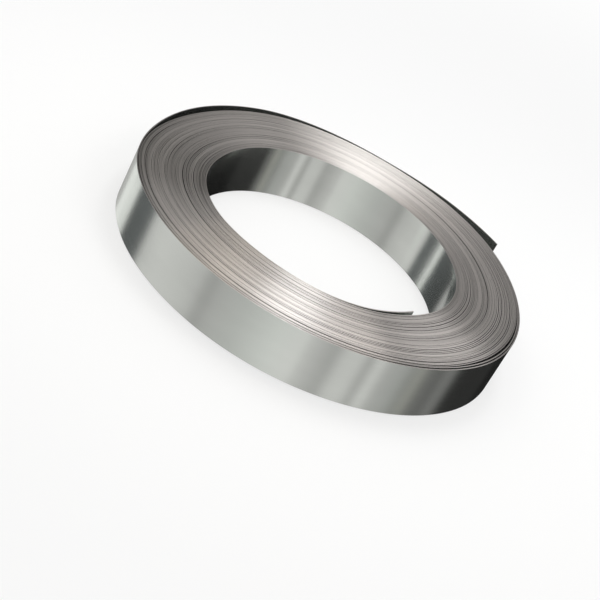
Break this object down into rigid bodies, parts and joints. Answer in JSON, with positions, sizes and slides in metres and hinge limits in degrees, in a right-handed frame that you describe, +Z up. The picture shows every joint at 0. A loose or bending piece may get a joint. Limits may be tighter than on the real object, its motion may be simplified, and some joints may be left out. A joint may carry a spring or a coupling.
{
  "type": "nickel alloy strip coil",
  "caption": "Flat coil of narrow bright nickel alloy strip wound on itself around an open bore, with its free outer end standing a little off the outside.",
  "frame": {"origin": "on the coil's axis at the level it rests on, which is the middle of its footprint", "axes": "+Z up along the bore; seen from +Z the strip winds clockwise on its way outward, and its free outer end is in the quarter between +X and +Y"},
  "size_m": [0.312, 0.312, 0.043],
  "materials": {
    "strip": "bright cold-rolled faces, duller slit edges"
  },
  "bodies": {
    "root": {"strip_coil": "strip"}
  },
  "joints": []
}
